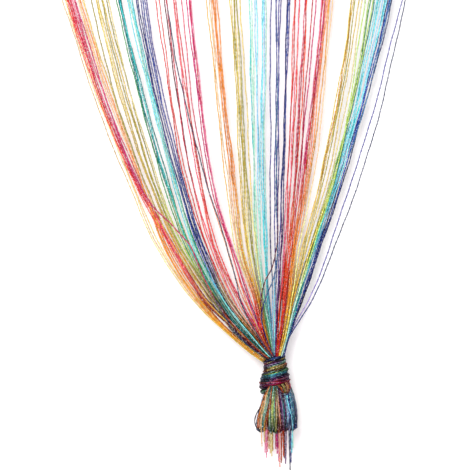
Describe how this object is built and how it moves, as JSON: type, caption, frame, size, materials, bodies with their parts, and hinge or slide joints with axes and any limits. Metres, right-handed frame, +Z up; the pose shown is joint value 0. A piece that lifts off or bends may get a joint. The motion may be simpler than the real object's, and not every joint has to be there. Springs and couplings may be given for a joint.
{
  "type": "string curtain",
  "caption": "String curtain of lurex yarn in rainbow bands, hung from a flat woven heading and gathered low down into a wound knot with a looped tuft.",
  "frame": {"origin": "middle of the heading's top edge, where the curtain is held", "axes": "+X along the heading, to the right seen from the front; -Y is the front; +Z up, so the curtain hangs down to -Z"},
  "size_m": [0.9, 0.047, 1.6861],
  "materials": {
    "heading_weave": "matt woven band",
    "lurex_peach_edge": "shiny lurex yarn",
    "lurex_pink_left": "shiny lurex yarn",
    "lurex_orange_left": "shiny lurex yarn",
    "lurex_gold_left": "shiny lurex yarn",
    "lurex_teal_left": "shiny lurex yarn",
    "lurex_cyan_left": "shiny lurex yarn",
    "lurex_navy_left": "shiny lurex yarn",
    "lurex_red_centre": "shiny lurex yarn",
    "lurex_rose_centre": "shiny lurex yarn",
    "lurex_magenta_centre": "shiny lurex yarn",
    "lurex_orange_centre": "shiny lurex yarn",
    "lurex_olive_centre": "shiny lurex yarn",
    "lurex_mint_centre": "shiny lurex yarn",
    "lurex_cyan_centre": "shiny lurex yarn",
    "lurex_navy_centre": "shiny lurex yarn",
    "lurex_indigo_right": "shiny lurex yarn",
    "lurex_red_right": "shiny lurex yarn",
    "lurex_coral_right": "shiny lurex yarn",
    "lurex_pink_right": "shiny lurex yarn",
    "lurex_orange_right": "shiny lurex yarn",
    "lurex_gold_right": "shiny lurex yarn",
    "lurex_green_right": "shiny lurex yarn",
    "lurex_cyan_right": "shiny lurex yarn",
    "lurex_navy_right": "shiny lurex yarn",
    "lurex_navy_edge": "shiny lurex yarn",
    "lurex_knot": "shiny lurex yarn of all the section colours"
  },
  "bodies": {
    "root": {"heading_band": "heading_weave", "strings_peach_edge": "lurex_peach_edge", "strings_pink_left": "lurex_pink_left", "strings_orange_left": "lurex_orange_left", "strings_gold_left": "lurex_gold_left", "strings_teal_left": "lurex_teal_left", "strings_cyan_left": "lurex_cyan_left", "strings_navy_left": "lurex_navy_left", "strings_red_centre": "lurex_red_centre", "strings_rose_centre": "lurex_rose_centre", "strings_magenta_centre": "lurex_magenta_centre", "strings_orange_centre": "lurex_orange_centre", "strings_olive_centre": "lurex_olive_centre", "strings_mint_centre": "lurex_mint_centre", "strings_cyan_centre": "lurex_cyan_centre", "strings_navy_centre": "lurex_navy_centre", "strings_indigo_right": "lurex_indigo_right", "strings_red_right": "lurex_red_right", "strings_coral_right": "lurex_coral_right", "strings_pink_right": "lurex_pink_right", "strings_orange_right": "lurex_orange_right", "strings_gold_right": "lurex_gold_right", "strings_green_right": "lurex_green_right", "strings_cyan_right": "lurex_cyan_right", "strings_navy_right": "lurex_navy_right", "strings_navy_edge": "lurex_navy_edge", "gathering_knot": "lurex_knot"}
  },
  "joints": []
}
